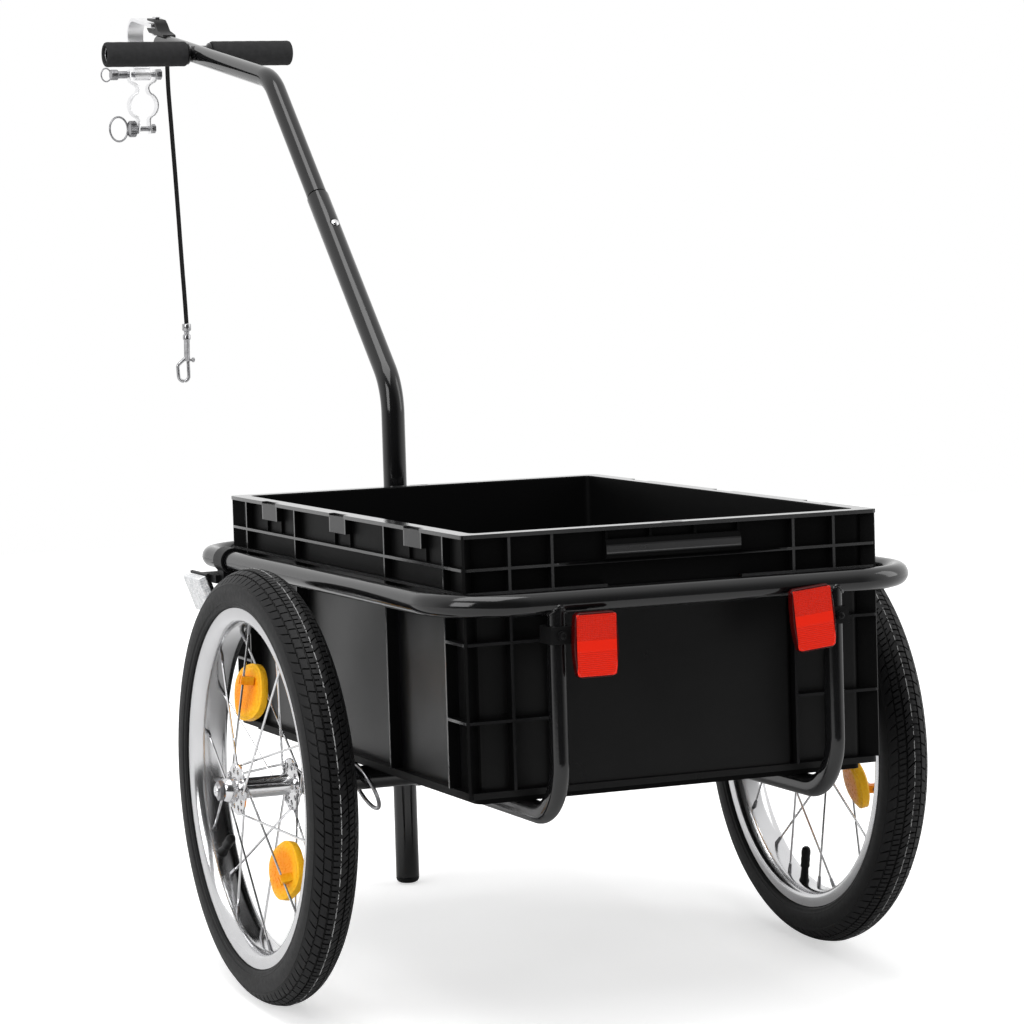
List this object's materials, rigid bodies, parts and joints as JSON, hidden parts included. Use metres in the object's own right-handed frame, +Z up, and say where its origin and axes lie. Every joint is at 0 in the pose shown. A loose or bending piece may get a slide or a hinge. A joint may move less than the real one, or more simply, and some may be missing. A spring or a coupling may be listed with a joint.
{
  "type": "bicycle trailer",
  "caption": "Two-wheeled bicycle trailer and hand wagon with a lift-in plastic crate, bent drawbar with T-handle, seat-post coupling and parking leg.",
  "frame": {"origin": "on the floor, under the middle of the parked trailer's box", "axes": "+X to the right seen from behind, +Y forward towards the coupling, +Z up from the floor; the trailer stands on its leg, nose-down by 4.07 degrees"},
  "size_m": [0.66, 1.588, 0.8882],
  "materials": {
    "enamel": "gloss black powder coat",
    "crate_plastic": "satin black moulded plastic",
    "black_plastic": "matt black plastic",
    "tyre_rubber": "matt black rubber",
    "alloy": "polished",
    "chrome": "bright plated",
    "amber_lens": "bright amber prismatic plastic",
    "red_lens": "bright red prismatic plastic",
    "clear_lens": "clear prismatic plastic over a silver back",
    "foam": "dark grey closed-cell foam",
    "webbing": "black woven webbing"
  },
  "bodies": {
    "chassis": {"axle_pin_left": "chrome", "axle_pin_right": "chrome", "axle_tube_left": "enamel", "axle_tube_middle": "enamel", "axle_tube_right": "enamel", "crate": "crate_plastic", "drawbar_lower": "enamel", "drawbar_upper": "enamel", "front_crossbar": "enamel", "front_reflector_clamp_left": "black_plastic", "front_reflector_clamp_right": "black_plastic", "front_reflector_left": "clear_lens", "front_reflector_right": "clear_lens", "grip_left": "foam", "grip_right": "foam", "handle_left": "enamel", "handle_right": "enamel", "hitch_bracket": "enamel", "hitch_kingpin": "chrome", "hoop_left": "enamel", "hoop_right": "enamel", "leg_cap": "black_plastic", "nose_plug": "black_plastic", "rail": "enamel", "rear_reflector_clamp_left": "black_plastic", "rear_reflector_clamp_right": "black_plastic", "rear_reflector_left": "red_lens", "rear_reflector_right": "red_lens", "snap_hook": "chrome", "socket_lower": "enamel", "socket_upper": "enamel", "spindle_left": "chrome", "spindle_right": "chrome", "spring_button": "chrome", "strap": "webbing", "strap_loop": "webbing"},
    "wheel_left": {"tyre_left": "tyre_rubber", "rim_left": "alloy", "hub_left": "chrome", "wheel_reflector_left_1": "amber_lens", "wheel_reflector_left_2": "amber_lens", "valve_left": "black_plastic"},
    "wheel_right": {"tyre_right": "tyre_rubber", "rim_right": "alloy", "hub_right": "chrome", "wheel_reflector_right_1": "amber_lens", "wheel_reflector_right_2": "amber_lens", "valve_right": "black_plastic"},
    "coupling_yoke": {"hitch_yoke": "chrome"},
    "coupling_clamp": {"clamp_band_left": "chrome", "clamp_band_right": "chrome", "clamp_pivot_bolt": "chrome", "clamp_screw": "chrome"}
  },
  "joints": [
    {"name": "wheel_left_spin", "type": "hinge", "parent": "chassis", "child": "wheel_left", "pos_m": [-0.283, -0.4555, 0.2], "axis": [1, 0, 0], "continuous": true},
    {"name": "wheel_right_spin", "type": "hinge", "parent": "chassis", "child": "wheel_right", "pos_m": [0.283, -0.4555, 0.2], "axis": [1, 0, 0], "continuous": true},
    {"name": "coupling_yaw", "type": "hinge", "parent": "chassis", "child": "coupling_yoke", "pos_m": [0, 0.70705, 0.87553], "axis": [0, -0.0877, 0.9962], "range_deg": [-60, 60]},
    {"name": "coupling_pitch", "type": "hinge", "parent": "coupling_yoke", "child": "coupling_clamp", "pos_m": [0, 0.7672, 0.81487], "axis": [1, 0, 0], "range_deg": [-15, 100]}
  ]
}
